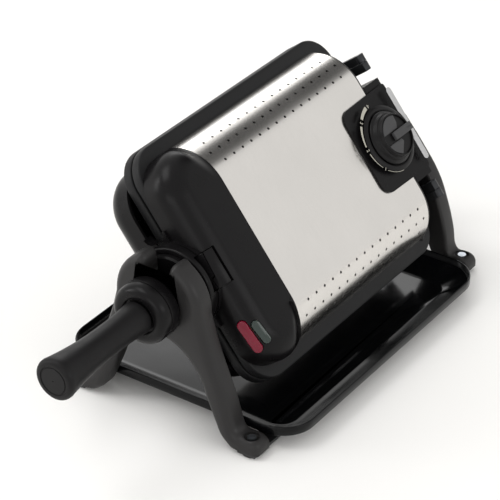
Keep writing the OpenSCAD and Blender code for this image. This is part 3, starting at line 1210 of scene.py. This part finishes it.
    def boss_block(self) -> bpy.types.Object:
        """The boss: a shoulder that runs out into the cap, and a round nose over the flange.

        Returns:
            The boss.
        """
        neck = [
            (36, 0.8), (36, 4.6), (36.6, 6.8), (38.2, 9.2), (40.6, 10.6), (42.5, 11.0), (42.5, 13.6),
            (33.4, 13.6)
        ]
        crown = arc((0, 0), 36, 23, 157, 40)
        outline = neck + crown + [(-x, z) for x, z in reversed(neck)]
        boss = prism(self.name("boss"), stand_up(outline, self.cap_front - 2), (0, 9.7, 0))
        nose_outline = [(self.nose, 0.8)] + arc((0, 0), self.nose, 3, 177, 60) + [(-self.nose, 0.8)]
        nose = prism(self.name("nose"), stand_up(nose_outline, self.nose_front), (0, 9.0, 0))
        pick(nose, "EDGE", lambda m, d: m.y < self.nose_front + 0.1 and m.z > 0.9 and abs(d.y) < 0.1)
        bevel_picked(1.6, 4)
        carve(boss, nose, "UNION")
        front = self.nose_front - 2
        profile = [(0, front), (self.seat, front), (self.seat, self.seat_floor), (0, self.seat_floor)]
        carve(boss, lathe("flange_seat", profile, steps=80))
        return boss

    def cut_pockets(self, cap: bpy.types.Object) -> None:
        """Cuts the lenses' and the release button's pockets in the lid's cap.

        Args:
            cap: The front cap.
        """
        for lens in LENSES:
            carve(cap, lens.body(self, "lens_pocket", -6.0, 5.0, 0.45))
        wide, low, high = 15.4, 23.6, 40.8
        mouth = [(-wide, low), (wide, low), (wide, high), (-wide, high)]
        carve(cap, prism("latch_pocket", stand_up(mouth, -77.5), (0, 16.5, 0)))

    def build_rear_cap(self) -> None:
        """Moulded rear cap that slopes away behind the steel, with a ribbed block on it."""
        slope = [
            (0.3, 0.0), (1.6, 0.2), (2.6, 1.0), (21.4, 18.6), (23.0, 20.4), (24.2, 22.4), (25.0, 24.8)
        ]
        rings = [
            stand_up(mirrored(self.section(inset)), self.steel_rear + back) for back, inset in slope
        ]
        cap = loft(self.name("rear_cap_moulding"), rings, closed=False, ends=False)
        self.hollow(cap, lambda place, normal: place.y > self.rim_rear - 0.05)
        carve(cap, self.ribbed_block(), "UNION")
        self.finish_piece(cap, CAP_PHENOLIC, "rear_cap", smooth=38)

    def ribbed_block(self) -> bpy.types.Object:
        """Block on the rear cap, under the panel or behind the pivot, grooved on its sides.

        Returns:
            The block.
        """
        wide, high = (45.5, 41.0) if self.half is Half.UPPER else (25.0, 31.5)
        low, deep, beyond = 13.0, 1.4, 60
        block = [(wide, low), (wide, high), (-wide, high), (-wide, low)]
        solid = prism(self.name("rear_block"), stand_up(block, self.steel_rear + 2.6), (0, 22.2, 0))
        core = wide - deep
        for y in (182.5, 188.5, 194.5):
            across = [(-beyond, y), (beyond, y), (beyond, y + 1.6), (-beyond, y + 1.6)]
            groove = prism("rib_gap", lift(across, 12), (0, 0, 28.2))
            inside = [(-core, y - 1), (core, y - 1), (core, y + 3), (-core, y + 3)]
            carve(groove, prism("keep", lift(inside, 11), (0, 0, 31)))
            carve(solid, groove)
        return solid


@dataclass(frozen=True)
class Lens:
    """Round-ended lamp lens that lies along the front cap's rounded edge."""

    name: str
    node: str
    finish: Finish
    height: float
    x: float
    length: float
    width: float = 8.0

    def body(self, cap: GrillHalf, name: str, low: float, high: float, grow: float) -> bpy.types.Object:
        """Solid between two heights over the cap's skin.

        Args:
            cap: The grill half whose cap carries the lens.
            name: Name of the new piece.
            low: Height of its underside over the skin.
            high: Height of its top.
            grow: How far its outline stands out.

        Returns:
            The solid.
        """
        here = cap.skin(self.x, self.height)
        along = (cap.skin(self.x + 10, self.height) - cap.skin(self.x - 10, self.height)).normalized()
        out = along.cross(
            cap.skin(self.x, self.height + 1) - cap.skin(self.x, self.height - 1)
        ).normalized()
        up = out.cross(along)
        plan = pill(self.length + 2 * grow, self.width + 2 * grow, 10)
        outline = [tuple(here + along * u + up * v + out * low) for u, v in plan]
        return prism(name, outline, tuple(out * (high - low)))

    def build(self, cap: GrillHalf) -> None:
        """Builds the lens and seats it in its pocket.

        Args:
            cap: The grill half whose cap carries the lens.
        """
        piece = self.body(cap, self.name, -2.6, 0.8, 0.0)
        soften(piece, 0.7, 3)
        settle(piece, self.finish, "lid", self.node, place=TILTED, smooth=50)


LENSES = (
    Lens("red_lamp_lens", "red_lens", RED_ACRYLIC, 31.0, 59.5, 29.0),
    Lens("clear_lamp_lens", "clear_lens", CLEAR_ACRYLIC, 38.0, 60.5, 21.0, 7.0),
)


@dataclass
class HubAndHandle:
    """Front hub in its fork, and the handle that turns the whole body."""

    collar_front: float = -129.8
    collar_rear: float = -107.3
    collar: float = 25.0
    journal: float = 19.9
    flange: float = 30.0
    flange_front: float = -87.2
    flange_rear: float = -74.3
    handle: float = 100.0

    def build(self) -> None:
        """Builds the hub and both shells of the handle."""
        self.build_hub()
        for half in Half:
            self.build_shell(half)

    def build_hub(self) -> None:
        """Turned collar with a seam ring, flatted journal, and the flange behind the fork."""
        f, r, c = self.collar_front, self.collar_rear, self.collar
        nose = (
            (0, 3.2), (14.2, 3.2), (14.6, 1.0), (15.6, 0.2), (19.0, 0), (21.9, 1.0), (23.9, 3.0),
            (c, 6.4), (c, 10.2), (c - 0.7, 10.5), (c - 0.7, 11.1), (c, 11.4),
        )
        tail = ((c, 3.2), (c - 0.8, 1.2), (c - 2.4, 0.1), (0, 0.1))
        profile = [(x, f + back) for x, back in nose] + [(x, r - ahead) for x, ahead in tail]
        collar = lathe("hub_moulding", profile, steps=80)
        flat = self.journal * math.sin(math.acos(10.5 / self.journal))
        start = math.degrees(math.atan2(flat, 10.5))
        outline = arc((0, 0), self.journal, 180 - start, start, 14) + arc(
            (0, 0), self.journal, -start, start - 180, 14
        )
        journal = prism("journal", stand_up(outline, r - 1), (0, self.flange_front - r + 2, 0))
        flange = lathe(
            "flange",
            [
                (0, self.flange_front), (28.6, self.flange_front),
                (self.flange, self.flange_front + 1.4), (self.flange, self.flange_rear - 0.6),
                (29.4, self.flange_rear), (0, self.flange_rear),
            ],
            steps=80,
        )
        relief = prism(
            "flange_relief", stand_up([(-40, 0.5), (40, 0.5), (40, 50), (-40, 50)], -79.0), (0, 20, 0)
        )
        carve(flange, relief)
        carve(collar, journal, "UNION")
        carve(collar, flange, "UNION")
        settle(collar, CAP_PHENOLIC, "grill_lower", "hub", place=TILTED, smooth=38)

    def radius(self, along: float) -> float:
        """Radius of the grip at a distance in front of the hub: waisted towards its root."""
        return 12 + 4.6 * ((along - 34) / 58) ** 2

    def build_shell(self, half: Half) -> None:
        """One of the grip's two shells, closed at its end, with a chamfered parting line.

        Args:
            half: Which of the two.
        """
        y = self.collar_front - 0.2
        length = self.handle
        outer = [(self.radius((length - 5.0) * i / 23), y - (length - 5.0) * i / 23) for i in range(24)]
        end = self.radius(length - 5.0)
        tip = (
            (0.1, 3.0), (0.7, 1.5), (2.0, 0.4), (3.6, 0), (5.0, 0.05), (5.4, 0.7), (6.2, 0.7),
            (6.6, 0.1)
        )
        outer += [(end - drawn_in, y - length + back) for drawn_in, back in tip]
        outer.append((0.4, y - length))
        inner = [
            (0.4, y - length + 3.4), (end - 4.0, y - length + 3.6), (self.radius(34) - 2.6, y - 34),
            (self.radius(0) - 2.6, y)
        ]
        name = "handle_shell_top" if half is Half.UPPER else "handle_shell_bottom"
        shell = lathe(f"{name}_grip", outer + inner, steps=40, sweep=180, closed=True)

        def on_seam(middle: Vector, direction: Vector) -> bool:
            """Whether an edge lies along the outside of the parting line.

            Args:
                middle: The edge's middle.
                direction: Its direction.

            Returns:
                True for an edge of the parting line.
            """
            level = abs(middle.z) < 0.02 and abs(direction.z) < 0.02
            skin = self.radius(min(95.0, y - middle.y)) - 0.8
            return level and abs(direction.y) > 0.5 and abs(middle.x) > skin

        pick(shell, "EDGE", on_seam)
        bevel_picked(0.45, 2)
        settle(shell, GRIP_MOULDING, "grill_lower", name, place=half.place, smooth=38)


@dataclass
class Controls:
    """Panel, scale and knob of the thermostat, on the lid's rear end."""

    half_x: float = 41.0
    front: float = 131.0
    rear: float = 201.0
    base: float = 41.7
    step: float = 43.2
    top: float = 48.0
    dial_y: float = 166.0

    def plan(self, inset: float) -> list[Flat]:
        """Outline of the panel: big corners in front, small ones behind.

        Args:
            inset: How far the outline is drawn in.

        Returns:
            The outline's places.
        """
        x, f, r = self.half_x - inset, self.front + inset, self.rear - inset
        return (
            arc((x - 12, f + 12), 12 - inset, -90, 0, 10)
            + arc((x - 3, r - 3), 3, 0, 90, 4)
            + arc((3 - x, r - 3), 3, 90, 180, 4)
            + arc((12 - x, f + 12), 12 - inset, 180, 270, 10)
        )

    def build(self) -> None:
        """Builds the fixed pieces and then the knob."""
        housing = prism(
            "control_housing_moulding", lift(self.plan(1.2), self.base), (0, 0, self.step - self.base)
        )
        self.bore(housing, 8.0)
        settle(housing, CAP_PHENOLIC, "lid", "control_housing", place=TILTED)
        edge = [
            (0.9, self.step), (0.0, self.step + 0.4), (0.0, 45.0), (0.5, 46.8), (1.2, 47.6),
            (2.2, self.top)
        ]
        panel = loft(
            "control_panel_plate", [lift(self.plan(i), z) for i, z in edge], closed=True, ends=True
        )
        self.bore(panel, 8.0)
        settle(panel, PANEL_LACQUER, "lid", "control_panel", place=TILTED)
        ring = [(23.6, 47.9), (23.9, 48.7), (24.9, 49.2), (26.3, 49.0), (27.8, 48.4), (28.6, 47.9)]
        surround = lathe(
            "dial_surround", ring, along=(0, 0, 1), centre=(0, self.dial_y, 0), steps=96, closed=True
        )
        settle(surround, KNOB_WELL, "lid", place=TILTED)
        self.build_strip()
        self.build_scale()
        self.build_knob()

    def bore(self, piece: bpy.types.Object, radius: float) -> None:
        """Bores the shaft's way through a piece.

        Args:
            piece: What is bored.
            radius: The bore's radius.
        """
        tool = lathe(
            "shaft_bore", [(0, 30), (radius, 30), (radius, 60), (0, 60)], along=(0, 0, 1),
            centre=(0, self.dial_y, 0), steps=48,
        )
        carve(piece, tool)

    def build_strip(self) -> None:
        """Metallised strip along the panel's rear edge, scalloped round the dial."""
        strip = prism(
            "metallised_trim",
            lift([(x - 1.0, y + 195.5) for x, y in pill(68, 6.2, 12)], self.top - 0.05), (0, 0, 0.55),
        )
        soften(strip, 0.25, 2)
        scallop = lathe(
            "scallop", [(0, 40), (29.4, 40), (29.4, 60), (0, 60)], along=(0, 0, 1),
            centre=(0, self.dial_y, 0), steps=96
        )
        carve(strip, scallop)
        settle(strip, METALLISED_STRIP, "lid", "trim_strip", place=TILTED)

    def scale_radius(self, angle: float) -> float:
        """Middle radius of the printed scale at an angle: it winds slowly inwards."""
        return 32.2 - 3.2 * (angle - 185) / 160

    def band(self, start: float, end: float) -> bpy.types.Object:
        """Piece of the printed scale, which narrows as it goes round.

        Args:
            start: First angle in degrees, where the scale is wider.
            end: Last angle.

        Returns:
            The thin solid band.
        """
        inner, outer = [], []
        for i in range(17):
            angle = start + (end - start) * i / 16
            width = 0.35 + 3.2 * max(0.0, (300 - angle) / 115) ** 1.2
            middle = self.scale_radius(angle)
            turn = math.radians(angle)
            for line, radius in ((outer, middle + width / 2), (inner, middle - width / 2)):
                line.append((radius * math.cos(turn), self.dial_y + radius * math.sin(turn)))
        return prism("scale_band", lift(outer + list(reversed(inner)), self.top - 0.05), (0, 0, 0.2))

    def build_scale(self) -> None:
        """Printed scale: narrowing bands between plain figures."""
        marks = [(186.0, "4"), (221.0, "3"), (266.0, "2"), (309.0, "1")]
        pieces = [
            self.band(191.5, 215.0), self.band(227.0, 260.0), self.band(272.0, 303.5),
            self.band(314.5, 352.0)
        ]
        for angle, figure in marks:
            turn = math.radians(angle)
            radius = self.scale_radius(angle)
            bpy.ops.object.select_all(action="DESELECT")
            bpy.ops.object.text_add(location=(0, 0, 0))
            text = bpy.context.object
            text.data.body = figure
            text.data.size = 4.6 * MM
            text.data.align_x = "CENTER"
            text.data.align_y = "CENTER"
            text.data.extrude = 0.1 * MM
            text.data.resolution_u = 3
            bpy.ops.object.convert(target="MESH")
            figure_mesh = bpy.context.object
            spot = Vector(
                (radius * math.cos(turn), self.dial_y + radius * math.sin(turn), self.top + 0.05)
            ) * MM
            figure_mesh.matrix_world = Matrix.Translation(spot) @ Matrix.Rotation(
                turn + math.radians(90), 4, "Z"
            )
            bpy.ops.object.transform_apply(location=True, rotation=True, scale=True)
            pieces.append(figure_mesh)
        scale = join("printed_scale", *pieces)
        close_up(scale, 0.001)
        settle(scale, PRINT_INK, "lid", "dial_scale", place=TILTED)

    def build_knob(self) -> None:
        """Stepped knob with two raised fields, a sunk channel and a grip bar."""
        z = self.top + 0.3
        profile = (
            (0, 0), (22.5, 0), (23, 0.4), (23, 1.3), (22.5, 2.0), (21.3, 2.6), (20.7, 3.4), (20.3, 5.6),
            (19.9, 6.2), (19.0, 6.6), (18.7, 7.3), (18.6, 9.4), (18.2, 9.9), (17.5, 10.0), (17.1, 9.7),
            (17.0, 8.4), (0, 8.4),
        )
        knob = lathe(
            "thermostat_knob", [(x, z + up) for x, up in profile], along=(0, 0, 1),
            centre=(0, self.dial_y, 0), steps=96,
        )
        bore = lathe(
            "knob_bore", [(0, z - 1), (3.02, z - 1), (3.02, z + 7.6), (0, z + 7.6)], along=(0, 0, 1),
            centre=(0, self.dial_y, 0), steps=32,
        )
        carve(knob, bore)
        settle(knob, KNOB_WELL, "control_knob", "knob", place=TILTED, smooth=38)
        fields = []
        for outline in (
            [(-4.6, 3.4), (-8.8, 6.2), *arc((0, 0), 16.4, 156, 252, 14), (-4.6, -15.7)],
            [(4.6, -15.7), *arc((0, 0), 16.4, 288, 341, 9), (7.4, 3.0), (4.6, 1.8)],
        ):
            field = prism("field", [(x, self.dial_y + y, z + 8.3) for x, y in outline], (0, 0, 1.6))
            soften(field, 0.35, 2)
            fields.append(field)
        outline = [(-3.4, -5.2), (3.4, -5.2), (3.4, 19.6), (-3.4, 19.6)]
        bar = prism("bar", [(x, self.dial_y + y, z + 8.3) for x, y in outline], (0, 0, 3.3))
        soften(bar, 0.6, 3)
        groove = prism(
            "bar_groove",
            [(x, self.dial_y + y, z + 11.1) for x, y in ((-0.6, 12), (0.6, 12), (0.6, 20), (-0.6, 20))],
            (0, 0, 1)
        )
        carve(bar, groove)
        grip = join("knob_fields_and_grip", *fields, bar)
        settle(grip, KNOB_FACE, "control_knob", "knob_insert", place=TILTED)


@dataclass
class Latch:
    """Release button set in the lid's front cap, with its stepped seam."""

    half_x: float = 15.0
    low: float = 24.0
    front: float = -73.5

    def build(self) -> None:
        """Builds the button, rounded over as the cap's edge is, with a jogged seam in its face."""
        profile = [
            (self.front, self.low), (self.front, 31.0), (-71.6, 35.2), (-67.6, 38.4), (-63.7, 39.9),
            (-63.7, 37.2), (-67.2, 34.2), (-68.6, self.low)
        ]
        button = prism(
            "release_button", [(-self.half_x, y, z) for y, z in profile], (2 * self.half_x, 0, 0)
        )
        soften(button, 0.7, 3)
        seam = [
            (-16, 35.9), (-16, 35.1), (4.4, 34.3), (5.8, 31.2), (7.4, 31.4), (16, 32.2), (16, 33.0),
            (6.9, 32.1), (5.3, 35.1),
        ]
        carve(button, prism("seam", stand_up(seam, self.front - 1), (0, 4.0, 0)))
        settle(button, CAP_PHENOLIC, "latch", "latch_button", place=TILTED)


@dataclass
class Fittings:
    """Small metal and moulded parts that keep their CAD shape, with softened edges or a finish."""

    def build(self, frame: dict[str, Any]) -> None:
        """Softens what shows from outside and dresses the rest.

        Args:
            frame: The loaded frame.
        """
        for name, node, finish, body, width in (
            ("rear_pivot_moulding", "rear_pivot", CAP_PHENOLIC, "grill_lower", 0.7),
            ("cord_gland_ring", "cord_gland", FOOT_RUBBER, "grill_lower", 0.3),
            ("hinge_ear_castings", "hinge_ears", HINGE_CASTING, "grill_lower", 0.5),
            ("hinge_knuckle_castings", "hinge_knuckles", HINGE_CASTING, "lid", 0.5),
        ):
            piece = cad_copy(name, node, frame)
            soften(piece, width, 2, 40)
            settle(piece, finish, body, node, smooth=30)
        for finish, nodes in (
            (
                ZINC_STEEL,
                (
                    "hub_screws", "handle_nut", "pivot_screws", "hinge_pins", "latch_spring",
                    "knob_shaft", "handle_core"
                )
            ),
            (
                ALUMINISED_SHEET,
                (
                    "lower_chassis", "upper_chassis", "lower_reflector", "upper_reflector",
                    "thermostat_bracket"
                )
            ),
            (HEATER_SHEATH, ("lower_element", "upper_element")),
            (STEATITE, ("terminal_block", "thermostat", "thermal_fuse", "lamp_holder")),
            (LAMP_GLASS, ("pilot_lamps",)),
        ):
            for node in nodes:
                dress_node(frame, node, finish)


# ---- studio ----


@dataclass
class Studio:
    """Pale floor, soft lights and the camera."""

    def build(self) -> None:
        """Sets the floor, the lights, the surroundings and the camera."""
        self.build_floor()
        self.build_world()
        for light in (
            ("key_overhead", (-0.9, -0.6, 2.0), (1.2, 0.9), 12.0),
            ("front_fill", (0.6, -2.6, 0.9), (1.6, 1.0), 7.0),
            ("right_side", (2.9, 0.1, 1.3), (1.8, 1.0), 12.0),
            ("back_left", (-1.7, 2.3, 1.55), (1.5, 0.8), 11.0),
            ("left_strip", (-2.2, -1.5, 1.1), (0.7, 1.3), 16.0),
        ):
            self.build_light(*light)
        self.build_camera()

    def build_floor(self) -> None:
        """Pale matt floor under the feet."""
        bpy.ops.object.select_all(action="DESELECT")
        bpy.ops.mesh.primitive_plane_add(size=12, location=(0, 0, 0))
        floor = bpy.context.object
        floor.name = "studio_floor"
        pick(floor, "FACE", lambda middle, normal: True)
        bpy.ops.mesh.subdivide(number_cuts=3)
        bpy.ops.object.mode_set(mode="OBJECT")
        floor.data.materials.append(
            Finish(
                "studio_paper", "floor", "#f6f5f3", "#f2f1ef", 0.8, grain=1.5, depth=0.01, mottle=300
            ).material()
        )

    def build_world(self) -> None:
        """Pale surroundings with one dark panel high behind, which the rolls of the covers mirror."""
        world = bpy.data.worlds.new("studio")
        world.use_nodes = True
        tree = world.node_tree
        way = add_node(tree, "ShaderNodeTexCoord").outputs["Generated"]
        near = add_node(
            tree, "ShaderNodeVectorMath", {"operation": "DOT_PRODUCT", 1: (0.0, 0.717, 0.697)}, {0: way}
        )
        level = add_node(
            tree, "ShaderNodeMapRange",
            {
                "interpolation_type": "SMOOTHSTEP", "From Min": 0.925, "From Max": 0.972,
                "To Min": 0.92, "To Max": 0.05
            },
            {"Value": near.outputs["Value"]},
        )
        background = tree.nodes["Background"]
        background.inputs["Color"].default_value = (1.0, 0.995, 0.985, 1.0)
        tree.links.new(level.outputs[0], background.inputs["Strength"])
        bpy.context.scene.world = world
        bpy.context.scene.view_settings.view_transform = "Standard"

    def build_light(self, name: str, place: Point, size: Flat, power: float) -> None:
        """Adds a soft box aimed at the object.

        Args:
            name: Name of the light.
            place: Its place in metres.
            size: Its width and height in metres.
            power: Its power in watts.
        """
        lamp = bpy.data.lights.new(name, "AREA")
        lamp.shape = "RECTANGLE"
        lamp.size, lamp.size_y = size
        lamp.energy = power
        box = bpy.data.objects.new(name, lamp)
        bpy.context.collection.objects.link(box)
        box.location = place
        aim = Vector((0.0, 0.05, 0.12)) - Vector(place)
        box.rotation_euler = aim.to_track_quat("-Z", "Y").to_euler()

    def build_camera(self) -> None:
        """Places the camera on a long lens above the right front."""
        lens = bpy.data.cameras.new("camera")
        lens.lens = 165.35
        lens.sensor_width = 36.0
        camera = bpy.data.objects.new("camera", lens)
        bpy.context.collection.objects.link(camera)
        camera.location = (0.8820, -1.2585, 1.0660)
        camera.rotation_euler = (math.radians(57.95), 0.0, math.radians(34.62))
        bpy.context.scene.camera = camera


def main() -> None:
    """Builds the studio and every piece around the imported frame."""
    logging.basicConfig(level=logging.INFO, format="%(name)s: %(message)s")
    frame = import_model()
    Studio().build()
    Stand().build(frame)
    DripTray().build()
    upper, lower = GrillHalf(Half.UPPER), GrillHalf(Half.LOWER)
    lower.build()
    upper.build()
    for lens in LENSES:
        lens.build(upper)
    HubAndHandle().build()
    Controls().build()
    Latch().build()
    Fittings().build(frame)


if __name__ == "__main__":
    main()
